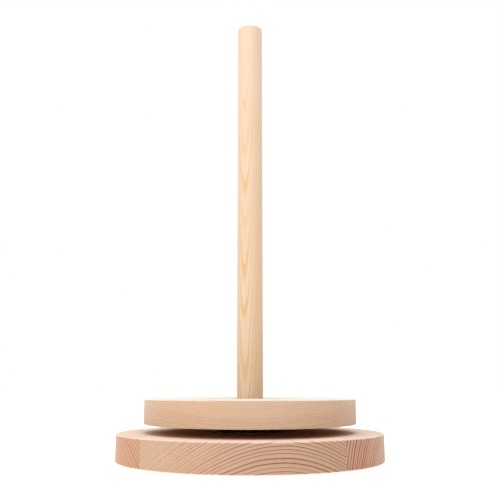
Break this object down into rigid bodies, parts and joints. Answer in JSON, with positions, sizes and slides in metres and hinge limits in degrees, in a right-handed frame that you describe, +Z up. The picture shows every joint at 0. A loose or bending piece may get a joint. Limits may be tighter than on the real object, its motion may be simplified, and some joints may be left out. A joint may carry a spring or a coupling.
{
  "type": "paper towel holder",
  "caption": "Free-standing wooden holder for a paper towel roll: a plain post on a round turntable that spins on a ball bearing over a wider round base.",
  "frame": {"origin": "on the post's axis, in the plane of the surface that the holder stands on", "axes": "+Z up along the post, +X right, -Y front: the base's grain runs front to back, so its front edge is end grain"},
  "size_m": [0.2, 0.2, 0.3515],
  "materials": {
    "base_wood": "clear oiled or matt lacquered softwood, end grain at the front",
    "turntable_wood": "clear oiled or matt lacquered softwood, long grain at the front",
    "post_wood": "clear oiled or matt lacquered softwood, grain along the post",
    "bearing_steel": "black pressed sheet steel",
    "ball_steel": "polished bearing steel",
    "cage_nylon": "moulded nylon",
    "screw_black": "black oxide steel",
    "screw_zinc": "zinc-plated steel",
    "pad_rubber": "matt soft rubber"
  },
  "bodies": {
    "base": {"base_board_left": "base_wood", "base_board_centre": "base_wood", "base_board_right": "base_wood", "foot_pad_1": "pad_rubber", "foot_pad_2": "pad_rubber", "foot_pad_3": "pad_rubber", "foot_pad_4": "pad_rubber", "bearing_lower_plate": "bearing_steel", "lower_plate_screw_1": "screw_black", "lower_plate_screw_2": "screw_black", "lower_plate_screw_3": "screw_black", "lower_plate_screw_4": "screw_black"},
    "ball_cage": {"bearing_ball_cage": "cage_nylon", "bearing_ball_01": "ball_steel", "bearing_ball_02": "ball_steel", "bearing_ball_03": "ball_steel", "bearing_ball_04": "ball_steel", "bearing_ball_05": "ball_steel", "bearing_ball_06": "ball_steel", "bearing_ball_07": "ball_steel", "bearing_ball_08": "ball_steel", "bearing_ball_09": "ball_steel", "bearing_ball_10": "ball_steel", "bearing_ball_11": "ball_steel", "bearing_ball_12": "ball_steel", "bearing_ball_13": "ball_steel", "bearing_ball_14": "ball_steel"},
    "turntable": {"turntable_disc": "turntable_wood", "post_dowel": "post_wood", "post_screw": "screw_zinc", "bearing_upper_plate": "bearing_steel", "upper_plate_screw_1": "screw_black", "upper_plate_screw_2": "screw_black", "upper_plate_screw_3": "screw_black", "upper_plate_screw_4": "screw_black"}
  },
  "joints": [
    {"name": "turntable_spin", "type": "hinge", "parent": "base", "child": "turntable", "pos_m": [0, 0, 0.02425], "axis": [0, 0, 1], "continuous": true},
    {"name": "cage_spin", "type": "hinge", "parent": "base", "child": "ball_cage", "pos_m": [0, 0, 0.02425], "axis": [0, 0, 1], "continuous": true}
  ],
  "couplings": [
    {"joint": "cage_spin", "follows": "turntable_spin", "ratio": 0.5}
  ]
}
